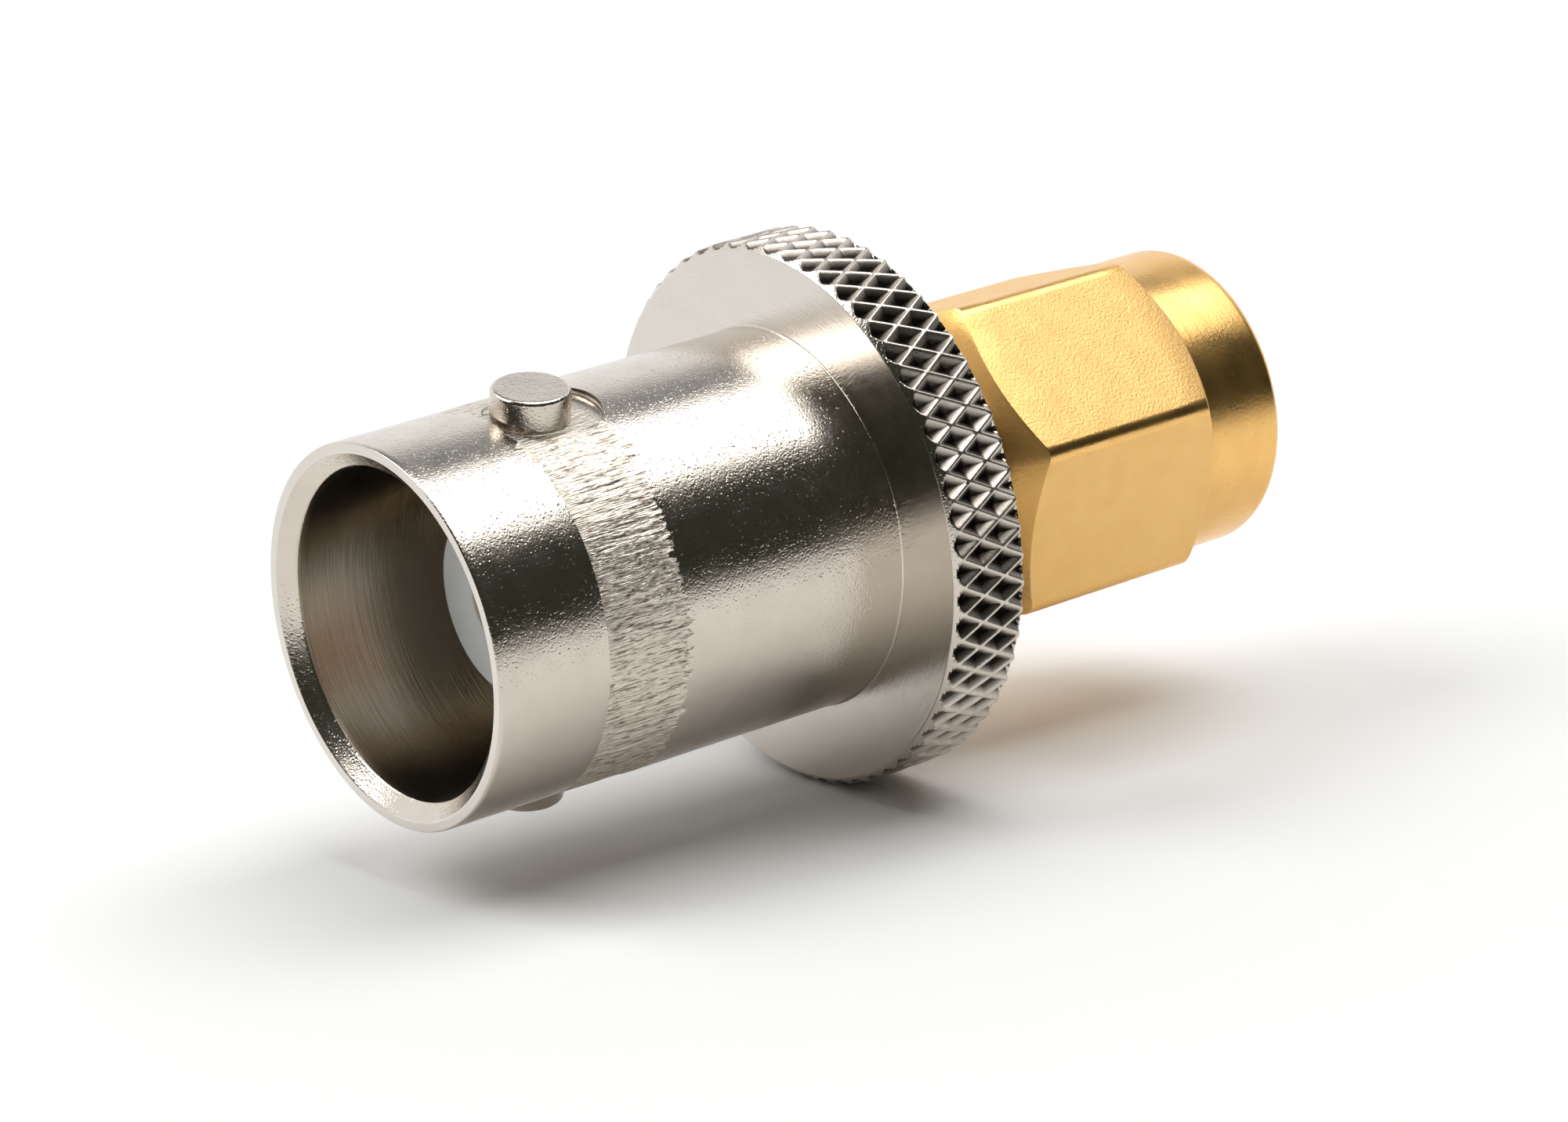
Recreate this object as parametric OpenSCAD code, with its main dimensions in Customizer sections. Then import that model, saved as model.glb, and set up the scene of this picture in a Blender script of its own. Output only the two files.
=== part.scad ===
// Adapter from a BNC socket to an SMA plug. The axis is Z: the BNC mouth lies on z = 0 and the
// coupling nut is at the top. The bayonet lugs stand along Y.

/* [BNC barrel] */
// Outside diameter of the barrel in front of the lugs
barrel_d = 9.6; // [9.4:0.05:9.8]
// Outside diameter of the barrel behind the lugs
rear_d = 9.7; // [9.6:0.05:10.2]
// Length from the mouth to the face of the flange
barrel_l = 12; // [11:0.1:15]
// Diameter of the mouth bore
bore_d = 8.25; // [7.8:0.05:8.4]
// Depth of the mouth bore
bore_depth = 9; // [8:0.1:10]
// Diameter of the countersink at the mouth
mouth_d = 8.95; // [8.6:0.05:9.2]
// Depth of the countersink
mouth_depth = 0.35; // [0.1:0.05:0.8]
// Round on the outer edge of the mouth
rim_round = 0.06; // [0.05:0.01:0.18]

/* [Bayonet lugs] */
// Diameter of a lug
lug_d = 1.95; // [1.6:0.05:2.1]
// Distance across the two lugs
lugs_across = 10.96; // [10.6:0.02:11.4]
// Distance from the mouth to the middle of the lugs
lug_z = 4.25; // [3.8:0.05:5.4]
// Chamfer on the top of a lug
lug_chamfer = 0.07; // [0.02:0.01:0.2]
// Diameter of the hollow mill that cut the lugs free
mill_d = 3.6; // [3:0.1:4.4]
// Distance across the two floors that the hollow mill left
mill_floors = 9.3; // [9.1:0.05:9.5]
// Width of the milled band between the lugs
band_w = 2.5; // [2:0.1:3.4]
// Depth of the milled band below the front barrel
band_depth = 0.02; // [0.01:0.01:0.08]

/* [Knurled flange] */
// Diameter over the knurl
flange_d = 13.94; // [13:0.02:16]
// Thickness of the flange
flange_t = 2.1; // [1.6:0.1:3]
// Number of diamonds round the flange
knurl_n = 61; // [48:1:72]
// Depth of the pits between the crests
knurl_depth = 0.26; // [0.1:0.02:0.34]
// Radial depth of the chamfer on the front edge
front_bevel = 0.21; // [0.1:0.01:0.3]
// Radial depth of the chamfer on the back edge
back_bevel = 0.12; // [0.05:0.01:0.3]
// Width of the plain land in front of the knurl
front_land = 0.08; // [0.04:0.01:0.12]
// Distance from the face of the flange to the first row of pits
front_row = 0.18; // [0.16:0.02:0.5]
// Distance from one row of pits to the next
knurl_row = 0.64; // [0.5:0.02:0.8]
// Width of the plain land behind the knurl
back_land = 0.05; // [0.04:0.01:0.2]
// Turn of the knurl about the axis, measured to the first pit
knurl_turn = 2.5; // [0:0.1:6]
// Fillet in the corner between barrel and flange
root_fillet = 0.12; // [0.05:0.01:0.4]

/* [Neck] */
// Diameter of the neck behind the flange
neck_d = 7; // [6.6:0.1:8]
// Length of the neck
neck_l = 1.8; // [1.2:0.1:3]
// Chamfer on the end of the neck
neck_chamfer = 0.2; // [0.1:0.05:0.4]
// Depth to which the ferrule sits in the neck
ferrule_seat = 2.5; // [2:0.1:3]
// Thickness of the web between the two insulators
web_t = 0.8; // [0.5:0.1:1.2]
// Diameter of the hole through the web
web_hole_d = 3; // [2.4:0.1:3.6]

/* [BNC insulator] */
// Diameter of the BNC insulator
insulator_d = 4.7; // [4.4:0.05:5]
// Distance from the mouth to the face of the insulator
insulator_z = 3.4; // [2.6:0.1:4.4]
// Thickness of the shoulder that stops the socket
shoulder_t = 0.6; // [0.4:0.1:1]

/* [Centre contact] */
// Outside diameter of the socket
socket_d = 2.1; // [2:0.05:2.3]
// Diameter of the hole in the socket
socket_bore_d = 1.36; // [1.3:0.01:1.5]
// Depth of the hole in the socket
socket_bore_depth = 4.5; // [4:0.1:5.5]
// Distance from the insulator face to the end of the socket
socket_recess = 0.05; // [0.05:0.05:0.6]
// Width of the slots in the socket
slot_w = 0.2; // [0.1:0.02:0.26]
// Length of the slots in the socket
slot_l = 3.2; // [2:0.1:3.8]
// Diameter of the shank between the insulators
shank_d = 1.27; // [1.1:0.01:1.5]
// Diameter of the SMA pin
pin_d = 0.92; // [0.88:0.01:0.96]
// Length of the SMA pin beyond the reference plane
pin_l = 2; // [1.6:0.1:2.5]
// Length of the pointed tip of the pin
pin_tip_l = 0.4; // [0.2:0.05:0.6]
// Diameter of the flat on the tip of the pin
pin_tip_d = 0.4; // [0.2:0.05:0.6]

/* [SMA ferrule] */
// Outside diameter of the ferrule
ferrule_d = 5.5; // [5.3:0.05:5.6]
// Diameter of the nose of the ferrule
nose_d = 4.56; // [4.4:0.02:4.6]
// Length of the nose
nose_l = 2.5; // [2:0.1:3]
// Diameter of the insulator inside the ferrule
dielectric_d = 4.1; // [3.9:0.02:4.16]
// Depth of the ring groove in the ferrule
ferrule_groove = 0.38; // [0.3:0.02:0.5]

/* [Coupling nut] */
// Size across the flats of the hexagon
nut_af = 7.94; // [7.88:0.02:8.2]
// Length of the nut
nut_l = 8.76; // [8:0.1:10]
// Length of the hexagon, measured on its flats to the round front
hex_l = 6.35; // [5.5:0.05:7]
// Diameter of the round front
front_d = 7.8; // [7.4:0.02:7.8]
// Chamfer on the front edge of the nut
front_chamfer = 0.25; // [0.1:0.05:0.4]
// Diameter of the rear face of the nut
rear_face_d = 6.8; // [6.6:0.1:7.4]
// Angle of the rear chamfer, measured from the rear face
rear_angle = 30; // [20:1:40]
// Angle of the chamfer that ends the flats at the front
front_angle = 37; // [25:1:45]
// Turn of the hexagon about the axis, measured to one corner
nut_turn = -25; // [-60:1:60]
// Distance by which the hexagon's front face stays inside its flats
front_face_step = 0.02; // [0.02:0.01:0.03]
// Space between the neck and the nut
nut_gap = 0.7; // [0.4:0.1:1.2]
// Crest diameter of the internal thread
thread_d = 5.72; // [5.7:0.01:5.9]
// Diameter of the lead-in at the mouth of the thread
lead_in_d = 6.6; // [6.4:0.05:7]
// Distance from the front of the nut back to the reference plane
nut_reach = 2.96; // [2.7:0.02:3.4]

/* [Ring and gasket] */
// Thickness of the retaining ring
ring_t = 0.5; // [0.3:0.05:0.6]
// Outside diameter of the retaining ring
ring_od = 5.95; // [5.9:0.05:6.2]
// Distance from the rear face of the nut to the retaining ring
ring_place = 1.4; // [1:0.1:1.8]
// Opening of the retaining ring, in degrees
ring_opening = 40; // [20:5:80]
// Thickness of the gasket
gasket_t = 0.7; // [0.4:0.1:1]
// Outside diameter of the gasket
gasket_od = 5.5; // [5.2:0.05:5.6]

/* [Fits] */
// Radial clearance of pieces that are seated in each other
seat_clear = 0.01; // [0.005:0.005:0.02]
// Radial clearance of the nut on the ferrule
run_clear = 0.05; // [0.02:0.01:0.08]
// Clearance round the retaining ring
ring_clear = 0.08; // [0.04:0.01:0.12]
// Radial clearance round the springing end of the socket
spring_clear = 0.1; // [0.05:0.01:0.2]

/* [Hidden] */
$fn = 96;
// Overlap of cutting shapes past the faces that they cut
past = 0.5;
// Metal between the deepest pits of the knurl and the core of the flange
knurl_backing = 0.1;
// Overlap of the knurled ring into the core of the flange
knurl_overlap = 0.2;
// Least part of a row that is left for the half pits at the back edge
half_row = 0.3;
// Directions of the two cuts that part the socket into springs
slot_turns = [45, 135];
// Places along the axis, from the mouth upwards
band_z0 = lug_z - band_w / 2;
band_z1 = lug_z + band_w / 2;
flange_z0 = barrel_l;
flange_z1 = flange_z0 + flange_t;
neck_z1 = flange_z1 + neck_l;
seat_z = neck_z1 - ferrule_seat;
web_z0 = seat_z - web_t;
shoulder_z = web_z0 - shoulder_t;
nut_z0 = neck_z1 + nut_gap;
nut_z1 = nut_z0 + nut_l;
reference_z = nut_z1 - nut_reach;
nose_z = reference_z - nose_l;
ring_z = nut_z0 + ring_place;
// Radii
barrel_r = barrel_d / 2;
rear_r = rear_d / 2;
band_r = barrel_r - band_depth;
flange_r = flange_d / 2;
core_r = flange_r - max(knurl_depth, front_bevel, back_bevel) - knurl_backing;
groove_r = ferrule_d / 2 - ferrule_groove;
ring_ir = groove_r + ring_clear;
ring_groove_r = ring_od / 2 + ring_clear;
hex_corner_r = nut_af / sqrt(3);
// Knurl: rows of crests and pits across the width, and columns of both round the flange
knurl_cols = 2 * knurl_n;
knurl_rows = floor((flange_t - front_row - back_land) / knurl_row - half_row);
knurl_zs = concat(
    [for (i = [0:knurl_rows]) flange_z0 + front_row + i * knurl_row],
    [flange_z1 - back_land]
);
knurl_inner_r = core_r - knurl_overlap;

// Removes the sharp outer edge of a ring of radius r that starts at z = 0
module edge_round(r, e) {
    translate([r - e, 0])
        difference() {
            translate([0, -past])
                square([e + past, e + past]);
            translate([0, e])
                circle(e);
        }
}

// Fills the inner corner between a shaft of radius r and a face at height z above it
module corner_fillet(r, z, f) {
    translate([r, z - f])
        difference() {
            translate([-f, 0])
                square([2 * f, f]);
            translate([f, 0])
                circle(f);
        }
}

// Points of one ring of the knurled band, with pits sunk where a row and a column differ in parity
function knurl_ring_points(z, r, pit, row) = [
    for (j = [0:knurl_cols - 1])
        let (a = knurl_turn + j * 360 / knurl_cols, q = r - ((j + row) % 2 == 1 ? pit : 0))
            [q * cos(a), q * sin(a), z]
];

// Two triangles of the cell between rows i and i + 1, split along the crest that crosses it
function knurl_cell(i, j, row) =
    let (
        k = (j + 1) % knurl_cols,
        a = i * knurl_cols + j,
        b = i * knurl_cols + k,
        c = (i + 1) * knurl_cols + k,
        d = (i + 1) * knurl_cols + j
    )
    (j + row) % 2 == 0 ? [[a, c, b], [a, d, c]] : [[a, d, b], [b, d, c]];

// Ring of diamond pits between crests that cross, plain at the front edge and open at the back edge
module knurl_ring() {
    rings = concat(
        [knurl_ring_points(flange_z0, knurl_inner_r, 0, 0)],
        [knurl_ring_points(flange_z0, flange_r - front_bevel, 0, 0)],
        [knurl_ring_points(flange_z0 + front_land, flange_r, 0, 0)],
        [for (i = [0:len(knurl_zs) - 1]) knurl_ring_points(knurl_zs[i], flange_r, knurl_depth, i + 1)],
        [knurl_ring_points(flange_z1, flange_r - back_bevel, 0, 0)],
        [knurl_ring_points(flange_z1, knurl_inner_r, 0, 0)]
    );
    n = len(rings);
    points = [for (ring = rings) each ring];
    walls = [for (i = [0:n - 2]) for (j = [0:knurl_cols - 1]) each knurl_cell(i, j, i)];
    inside = [
        for (j = [0:knurl_cols - 1])
            let (k = (j + 1) % knurl_cols, top = (n - 1) * knurl_cols)
                each [[j, k, top + k], [j, top + k, top + j]]
    ];
    polyhedron(points, concat(walls, inside), convexity = 6);
}

// The two lugs, drawn as one pin across the barrel
module lug_pin() {
    half = lugs_across / 2;
    r = lug_d / 2;
    translate([0, 0, lug_z])
        rotate([90, 0, 0])
            rotate_extrude()
                polygon([
                    [0, -half], [r - lug_chamfer, -half], [r, -half + lug_chamfer],
                    [r, half - lug_chamfer], [r - lug_chamfer, half], [0, half]
                ]);
}

// The flat floors that the hollow mill leaves round the lugs
module mill_cut() {
    for (side = [0, 180])
        rotate([0, 0, side])
            translate([0, mill_floors / 2, lug_z])
                rotate([-90, 0, 0])
                    cylinder(d = mill_d, h = lugs_across);
}

module body_profile() {
    difference() {
        union() {
            polygon([
                [0, 0], [barrel_r, 0], [barrel_r, band_z0], [band_r, band_z0], [band_r, band_z1],
                [rear_r, band_z1], [rear_r, flange_z0], [core_r, flange_z0], [core_r, flange_z1],
                [neck_d / 2, flange_z1], [neck_d / 2, neck_z1 - neck_chamfer],
                [neck_d / 2 - neck_chamfer, neck_z1], [0, neck_z1]
            ]);
            corner_fillet(rear_r, flange_z0, root_fillet);
        }
        edge_round(barrel_r, rim_round);
    }
}

// Mouth, insulator bore, hole in the web and seat of the ferrule, in one turned cut
module body_bore() {
    rotate_extrude()
        polygon([
            [0, -past], [mouth_d / 2, -past], [mouth_d / 2, 0], [bore_d / 2, mouth_depth],
            [bore_d / 2, bore_depth], [insulator_d / 2 + seat_clear, bore_depth],
            [insulator_d / 2 + seat_clear, web_z0], [web_hole_d / 2, web_z0], [web_hole_d / 2, seat_z],
            [ferrule_d / 2 + seat_clear, seat_z], [ferrule_d / 2 + seat_clear, neck_z1 + past],
            [0, neck_z1 + past]
        ]);
}

module bnc_body() {
    color("silver")
        difference() {
            union() {
                difference() {
                    rotate_extrude()
                        body_profile();
                    mill_cut();
                }
                lug_pin();
                knurl_ring();
            }
            body_bore();
        }
}

module bnc_insulator() {
    socket_r = socket_d / 2 + spring_clear;
    color("white")
        rotate_extrude()
            polygon([
                [socket_r, insulator_z], [insulator_d / 2, insulator_z], [insulator_d / 2, web_z0],
                [shank_d / 2 + seat_clear, web_z0], [shank_d / 2 + seat_clear, shoulder_z],
                [socket_r, shoulder_z]
            ]);
}

module centre_contact() {
    socket_z = insulator_z + socket_recess;
    pin_z = reference_z + pin_l;
    color("gold")
        difference() {
            rotate_extrude()
                polygon([
                    [0, socket_z], [socket_d / 2, socket_z], [socket_d / 2, shoulder_z],
                    [shank_d / 2, shoulder_z], [shank_d / 2, reference_z], [pin_d / 2, reference_z],
                    [pin_d / 2, pin_z - pin_tip_l], [pin_tip_d / 2, pin_z], [0, pin_z]
                ]);
            translate([0, 0, socket_z - past])
                cylinder(d = socket_bore_d, h = socket_bore_depth + past);
            for (turn = slot_turns)
                rotate([0, 0, turn])
                    translate([-socket_d, -slot_w / 2, socket_z - past])
                        cube([2 * socket_d, slot_w, slot_l + past]);
        }
}

module sma_insulator() {
    color("white")
        rotate_extrude()
            polygon([
                [shank_d / 2 + seat_clear, seat_z], [dielectric_d / 2, seat_z],
                [dielectric_d / 2, reference_z], [shank_d / 2 + seat_clear, reference_z]
            ]);
}

module sma_ferrule() {
    outer_r = ferrule_d / 2;
    inner_r = dielectric_d / 2 + seat_clear;
    color("goldenrod")
        rotate_extrude()
            polygon([
                [inner_r, seat_z], [outer_r, seat_z], [outer_r, ring_z - ring_clear],
                [groove_r, ring_z - ring_clear], [groove_r, ring_z + ring_t + ring_clear],
                [outer_r, ring_z + ring_t + ring_clear], [outer_r, nose_z], [nose_d / 2, nose_z],
                [nose_d / 2, reference_z], [inner_r, reference_z]
            ]);
}

module retaining_ring() {
    color("dimgray")
        rotate([0, 0, ring_opening / 2])
            rotate_extrude(angle = 360 - ring_opening)
                translate([ring_ir, ring_z])
                    square([ring_od / 2 - ring_ir, ring_t]);
}

module gasket() {
    color("firebrick")
        rotate_extrude()
            translate([nose_d / 2 + seat_clear, nose_z])
                square([(gasket_od - nose_d) / 2 - seat_clear, gasket_t]);
}

// Outside of the nut: hexagon with both ends chamfered by turning, and a round front
module nut_outside() {
    rear_r0 = rear_face_d / 2;
    face_r = nut_af / 2 - front_face_step;
    hex_z1 = nut_z0 + hex_l;
    blank_r = hex_corner_r + past;
    rear_rise = (blank_r - rear_r0) * tan(rear_angle);
    front_drop = (blank_r - face_r) * tan(front_angle);
    front_r = front_d / 2;
    intersection() {
        translate([0, 0, nut_z0])
            rotate([0, 0, nut_turn])
                cylinder(r = hex_corner_r, h = hex_l, $fn = 6);
        rotate_extrude()
            polygon([
                [0, nut_z0], [rear_r0, nut_z0], [blank_r, nut_z0 + rear_rise],
                [blank_r, hex_z1 - front_drop], [face_r, hex_z1], [0, hex_z1]
            ]);
    }
    rotate_extrude()
        polygon([
            [0, hex_z1 - past], [front_r, hex_z1 - past], [front_r, nut_z1 - front_chamfer],
            [front_r - front_chamfer, nut_z1], [0, nut_z1]
        ]);
}

// Inside of the nut: running bore, ring groove, thread and lead-in, in one turned cut
module nut_inside() {
    run_r = ferrule_d / 2 + run_clear;
    thread_r = max(thread_d / 2, run_r);
    lead_r = lead_in_d / 2;
    groove_z0 = ring_z - ring_clear;
    groove_z1 = ring_z + ring_t + ring_clear;
    rotate_extrude()
        polygon([
            [0, nut_z0 - past], [run_r, nut_z0 - past], [run_r, groove_z0], [ring_groove_r, groove_z0],
            [ring_groove_r, groove_z1], [thread_r, groove_z1], [thread_r, nut_z1 - (lead_r - thread_r)],
            [lead_r, nut_z1], [lead_r, nut_z1 + past], [0, nut_z1 + past]
        ]);
}

module coupling_nut() {
    color("gold")
        difference() {
            nut_outside();
            nut_inside();
        }
}

bnc_body();
bnc_insulator();
centre_contact();
sma_insulator();
sma_ferrule();
retaining_ring();
gasket();
coupling_nut();
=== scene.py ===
import math

import bmesh
import bpy
import numpy as np
from mathutils import Matrix, Vector


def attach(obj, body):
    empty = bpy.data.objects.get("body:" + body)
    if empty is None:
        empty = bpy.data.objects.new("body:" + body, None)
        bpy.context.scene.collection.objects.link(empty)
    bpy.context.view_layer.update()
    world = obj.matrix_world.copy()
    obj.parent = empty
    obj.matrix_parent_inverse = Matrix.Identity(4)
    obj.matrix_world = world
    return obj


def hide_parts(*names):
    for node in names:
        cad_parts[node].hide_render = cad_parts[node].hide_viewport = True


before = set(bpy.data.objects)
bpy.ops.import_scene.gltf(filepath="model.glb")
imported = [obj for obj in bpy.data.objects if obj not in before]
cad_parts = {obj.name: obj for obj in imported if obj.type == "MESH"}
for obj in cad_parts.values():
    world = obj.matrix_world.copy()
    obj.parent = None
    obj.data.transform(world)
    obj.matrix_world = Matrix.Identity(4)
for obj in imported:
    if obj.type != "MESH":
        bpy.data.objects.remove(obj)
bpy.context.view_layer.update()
print("frame loaded:", ", ".join(sorted(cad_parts)))

mm = 0.001  # shapes are worked out in millimetres and written in metres
tau = 2 * math.pi


def linear(hexColour):
    channels = [int(hexColour[i:i + 2], 16) / 255 for i in (1, 3, 5)]
    return [c / 12.92 if c <= 0.04045 else ((c + 0.055) / 1.055) ** 2.4 for c in channels] + [1]


def addNode(tree, kind, values=None, links=None, **settings):
    node = tree.nodes.new(kind)
    for key, value in settings.items():
        setattr(node, key, value)
    for socket, value in (values or {}).items():
        node.inputs[socket].default_value = value
    for socket, source in (links or {}).items():
        tree.links.new(source, node.inputs[socket])
    return node


def perMetre(sizeMm):  # texture scale for features of that size
    return 1 / (sizeMm * mm)


def smoothStep(low, high, x):
    t = np.clip((x - low) / (high - low), 0, 1)
    return t * t * (3 - 2 * t)


def wrappedNoise(seed, around, along):
    # random heights on a grid that closes round the axis, read with smooth steps between its points
    table = np.random.default_rng(seed).uniform(-1, 1, (around, along))

    def read(turns, share):
        a = np.asarray(turns, float) % 1 * around
        b = np.clip(np.asarray(share, float), 0, 1) * (along - 1)
        i, j = np.floor(a).astype(int), np.minimum(np.floor(b).astype(int), along - 2)
        s, t = smoothStep(0, 1, a - i), smoothStep(0, 1, b - j)
        k, i = (i + 1) % around, i % around
        low = table[i, j] * (1 - s) + table[k, j] * s
        high = table[i, j + 1] * (1 - s) + table[k, j + 1] * s
        return low * (1 - t) + high * t

    return read


def newShape():
    return {"points": [], "faces": [], "slots": [], "count": 0}


def addPoints(shape, points):
    points = np.asarray(points, float).reshape(-1, 3)
    first = shape["count"]
    shape["points"].append(points)
    shape["count"] += len(points)
    return np.arange(first, first + len(points))


def addFaces(shape, faces, slot):
    faces = np.asarray(faces).tolist()
    shape["faces"] += faces
    shape["slots"] += np.broadcast_to(slot, len(faces)).tolist()


def ringPoints(angles, r, z):
    r, z = np.broadcast_to(r, angles.shape), np.broadcast_to(z, angles.shape)
    return np.column_stack([r * np.cos(angles), r * np.sin(angles), z])


def bridge(shape, lower, upper, slot):
    # closed band between two rings; the finer ring may have a whole multiple of the coarser one's points
    if len(lower) == len(upper):
        addFaces(shape, np.column_stack([lower, np.roll(lower, -1), np.roll(upper, -1), upper]), slot)
        return
    fine, coarse, flip = (lower, upper, False) if len(lower) > len(upper) else (upper, lower, True)
    step = len(fine) // len(coarse)
    faces = []
    for k in range(len(coarse)):
        nextK = (k + 1) % len(coarse)
        for i in range(step):
            a, b = fine[k * step + i], fine[(k * step + i + 1) % len(fine)]
            faces.append([a, b, coarse[k] if i < step // 2 else coarse[nextK]])
        faces.append([fine[k * step + step // 2], coarse[nextK], coarse[k]])
    addFaces(shape, [f[::-1] for f in faces] if flip else faces, slot)


def makePiece(name, shape, materials, sharpDeg):
    mesh = bpy.data.meshes.new(name)
    mesh.from_pydata((np.concatenate(shape["points"]) * mm).tolist(), [], shape["faces"])
    mesh.polygons.foreach_set("material_index", shape["slots"])
    for material in materials:
        mesh.materials.append(material)
    work = bmesh.new()
    work.from_mesh(mesh)
    bmesh.ops.recalc_face_normals(work, faces=work.faces)
    work.to_mesh(mesh)
    work.free()
    mesh.shade_smooth()
    mesh.set_sharp_from_angle(angle=math.radians(sharpDeg))
    piece = bpy.data.objects.new(name, mesh)
    bpy.context.scene.collection.objects.link(piece)
    return piece


def markHeight(tree, place, mark):
    # rings lie round the axis on a face, turns and strokes on a wall; grain and pits fill the metal evenly
    if mark["form"] == "rings":
        ringMm, driftMm = mark["sizeMm"]
        flat = addNode(tree, "ShaderNodeVectorMath", {1: (1, 1, 0)}, {0: place}, operation="MULTIPLY")
        radius = addNode(tree, "ShaderNodeVectorMath", links={0: flat.outputs[0]}, operation="LENGTH")
        outward = addNode(tree, "ShaderNodeCombineXYZ", links={"X": radius.outputs["Value"]})
        rings = addNode(tree, "ShaderNodeVectorMath", {1: [perMetre(ringMm)] * 3}, {0: outward.outputs[0]},
                        operation="MULTIPLY")
        drift = addNode(tree, "ShaderNodeVectorMath", {1: [0] + [perMetre(driftMm)] * 2},
                        {0: flat.outputs[0]}, operation="MULTIPLY")
        scaled = addNode(tree, "ShaderNodeVectorMath", links={0: rings.outputs[0], 1: drift.outputs[0]},
                         operation="ADD")
    else:
        scaled = addNode(tree, "ShaderNodeVectorMath", {1: [perMetre(size) for size in mark["sizeMm"]]},
                         {0: place}, operation="MULTIPLY")
    if mark["form"] == "pits":
        cells = addNode(tree, "ShaderNodeTexVoronoi", {"Scale": 1}, {"Vector": scaled.outputs[0]})
        bowl = addNode(tree, "ShaderNodeMapRange", {"From Max": 0.5, "To Min": 1, "To Max": 0},
                       {"Value": cells.outputs["Distance"]}, interpolation_type="SMOOTHSTEP")
        deep = addNode(tree, "ShaderNodeSeparateColor", links={0: cells.outputs["Color"]})
        pit = addNode(tree, "ShaderNodeMath", links={0: bowl.outputs[0], 1: deep.outputs[0]},
                      operation="MULTIPLY")
        return addNode(tree, "ShaderNodeMath", {0: 1}, {1: pit.outputs[0]}, operation="SUBTRACT").outputs[0]
    return addNode(tree, "ShaderNodeTexNoise", {"Scale": 1, "Detail": mark["detail"], "Roughness": 0.65},
                   {"Vector": scaled.outputs[0]}).outputs["Fac"]


def makeMaterial(name, look):
    material = bpy.data.materials.new(name)
    material.use_nodes = True
    tree = material.node_tree
    tree.nodes.clear()
    shader = addNode(tree, "ShaderNodeBsdfPrincipled", look["shader"])
    addNode(tree, "ShaderNodeOutputMaterial", links={"Surface": shader.outputs[0]})
    place = addNode(tree, "ShaderNodeTexCoord").outputs["Object"]
    haze = addNode(tree, "ShaderNodeTexNoise", {"Scale": perMetre(look["hazeMm"]), "Detail": 4},
                   {"Vector": place})
    colour = addNode(tree, "ShaderNodeMix", {6: linear(look["colour"]), 7: linear(look["shade"])},
                     {0: haze.outputs["Fac"]}, data_type="RGBA").outputs[2]
    if "sunk" in look:  # what lies nearer the axis takes a darker colour: painted shade in the knurl's pits
        low, high = look["sunk"]["radiiMm"]
        flat = addNode(tree, "ShaderNodeVectorMath", {1: (1, 1, 0)}, {0: place}, operation="MULTIPLY")
        radius = addNode(tree, "ShaderNodeVectorMath", links={0: flat.outputs[0]}, operation="LENGTH")
        raised = addNode(tree, "ShaderNodeMapRange", {"From Min": low * mm, "From Max": high * mm},
                         {"Value": radius.outputs["Value"]})
        colour = addNode(tree, "ShaderNodeMix", {6: linear(look["sunk"]["colour"])},
                         {0: raised.outputs[0], 7: colour}, data_type="RGBA").outputs[2]
    if "shadeStreaks" in look:  # darker streaks along the axis, which are painted shade
        low, high = look["shadeStreaks"]["range"]
        unshaded = addNode(tree, "ShaderNodeMapRange", {"From Min": low, "From Max": high},
                        {"Value": markHeight(tree, place, look["shadeStreaks"])})
        colour = addNode(tree, "ShaderNodeMix", {6: linear(look["shadeStreaks"]["colour"])},
                         {0: unshaded.outputs[0], 7: colour}, data_type="RGBA").outputs[2]
    tree.links.new(colour, shader.inputs["Base Color"])
    smooth, dull = look["roughness"]
    rough = addNode(tree, "ShaderNodeMapRange",  # the noise hardly leaves 0.3 to 0.7
                    {"From Min": 0.3, "From Max": 0.7, "To Min": smooth, "To Max": dull},
                    {"Value": haze.outputs["Fac"]})
    tree.links.new(rough.outputs[0], shader.inputs["Roughness"])
    normal = None
    for mark in look["marks"]:
        bump = addNode(tree, "ShaderNodeBump", {"Strength": 1, "Distance": mark["depthMm"] * mm},
                       {"Height": markHeight(tree, place, mark)})
        if normal:
            tree.links.new(normal, bump.inputs["Normal"])
        normal = bump.outputs[0]
    tree.links.new(normal, shader.inputs["Normal"])
    return material


# Bright nickel plate on turned brass: a warm grey mirror, grainy and clouded where light meets dark
# The plate's pits are finer than 0.02 mm and are drawn about four times as coarse, so that they show
nickel = makeMaterial("platedNickel", {
    "shader": {"Metallic": 1}, "colour": "#d9d0c5", "shade": "#cdc3b7", "hazeMm": 0.7,
    "roughness": (0.16, 0.23),
    "marks": [{"form": "grain", "sizeMm": (0.055, 0.055, 0.055), "depthMm": 0.0055, "detail": 2},
              {"form": "pits", "sizeMm": (0.085, 0.085, 0.085), "depthMm": 0.006},
              {"form": "grain", "sizeMm": (0.24, 0.24, 0.24), "depthMm": 0.005, "detail": 2}]})

# The same plate on a faced surface: rings as far apart as the tool's feed draw the light out across them
faced = makeMaterial("facedNickel", {
    "shader": {"Metallic": 1}, "colour": "#e0dad2", "shade": "#d6d0c8", "hazeMm": 1.2,
    "roughness": (0.11, 0.17),
    "marks": [{"form": "rings", "sizeMm": (0.05, 2.2), "depthMm": 0.004, "detail": 3},
              {"form": "grain", "sizeMm": (0.08, 0.08, 0.08), "depthMm": 0.002, "detail": 2}]})
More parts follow.
